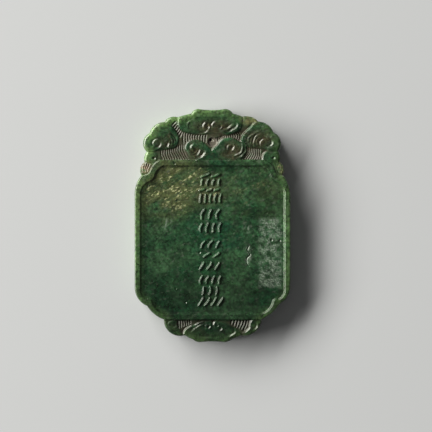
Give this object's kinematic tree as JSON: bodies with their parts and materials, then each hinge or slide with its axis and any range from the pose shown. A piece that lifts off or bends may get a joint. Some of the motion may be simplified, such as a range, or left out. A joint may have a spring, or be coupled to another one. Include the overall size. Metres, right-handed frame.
{
  "type": "jade plaque",
  "caption": "Carved jade pendant plaque: bordered panel with a column of raised strokes, under a crest of scrolling clouds with a cord hole.",
  "frame": {"origin": "under the middle of the plaque's box, on the surface that it lies on", "axes": "+Z out of the carved face, +Y towards the cloud crest, +X to the right as the carved face is seen"},
  "size_m": [0.06, 0.09, 0.008],
  "materials": {
    "jade": "polished spinach-green nephrite, slightly waxy, with residue in the cuts"
  },
  "bodies": {
    "root": {"plaque": "jade"}
  },
  "joints": []
}
